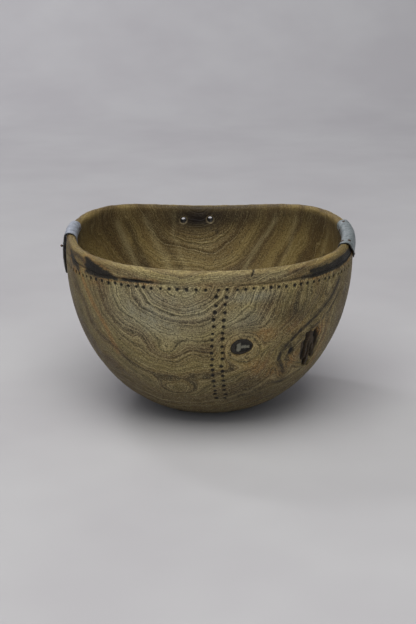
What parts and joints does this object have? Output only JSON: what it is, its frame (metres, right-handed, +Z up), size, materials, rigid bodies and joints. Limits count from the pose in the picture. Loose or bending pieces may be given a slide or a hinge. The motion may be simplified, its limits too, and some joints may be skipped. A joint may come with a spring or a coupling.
{
  "type": "carved wooden bowl",
  "caption": "Deep round-bottomed carved hardwood bowl with a wavering rim, punched dot rows, a dead knot, two cord holes and a folded metal clip nailed over each end of the rim.",
  "frame": {"origin": "middle of the worn flat foot, on the surface the bowl stands on", "axes": "+Z up through the mouth, +X along the long way from the left clip to the right clip, -Y to the front with the knot and the dotted columns"},
  "size_m": [0.2568, 0.246, 0.1616],
  "materials": {
    "carved_wood": "worn and smoke-darkened, waxy from handling",
    "knot_bark": "dry, cracked",
    "knot_core": "dry, weathered",
    "aluminium_sheet": "oxidised, hammered",
    "zinc_grey_sheet": "oxidised, dented",
    "iron_nail": "rusted dark"
  },
  "bodies": {
    "root": {"bowl_body": "carved_wood", "knot_bark": "knot_bark", "knot_core": "knot_core", "left_rim_clip": "aluminium_sheet", "left_outer_nails": "iron_nail", "left_inner_nails": "iron_nail", "left_loose_pin": "iron_nail", "right_rim_clip": "zinc_grey_sheet", "right_crown_nails": "iron_nail", "right_outer_nails": "iron_nail", "right_inner_nails": "iron_nail"}
  },
  "joints": []
}
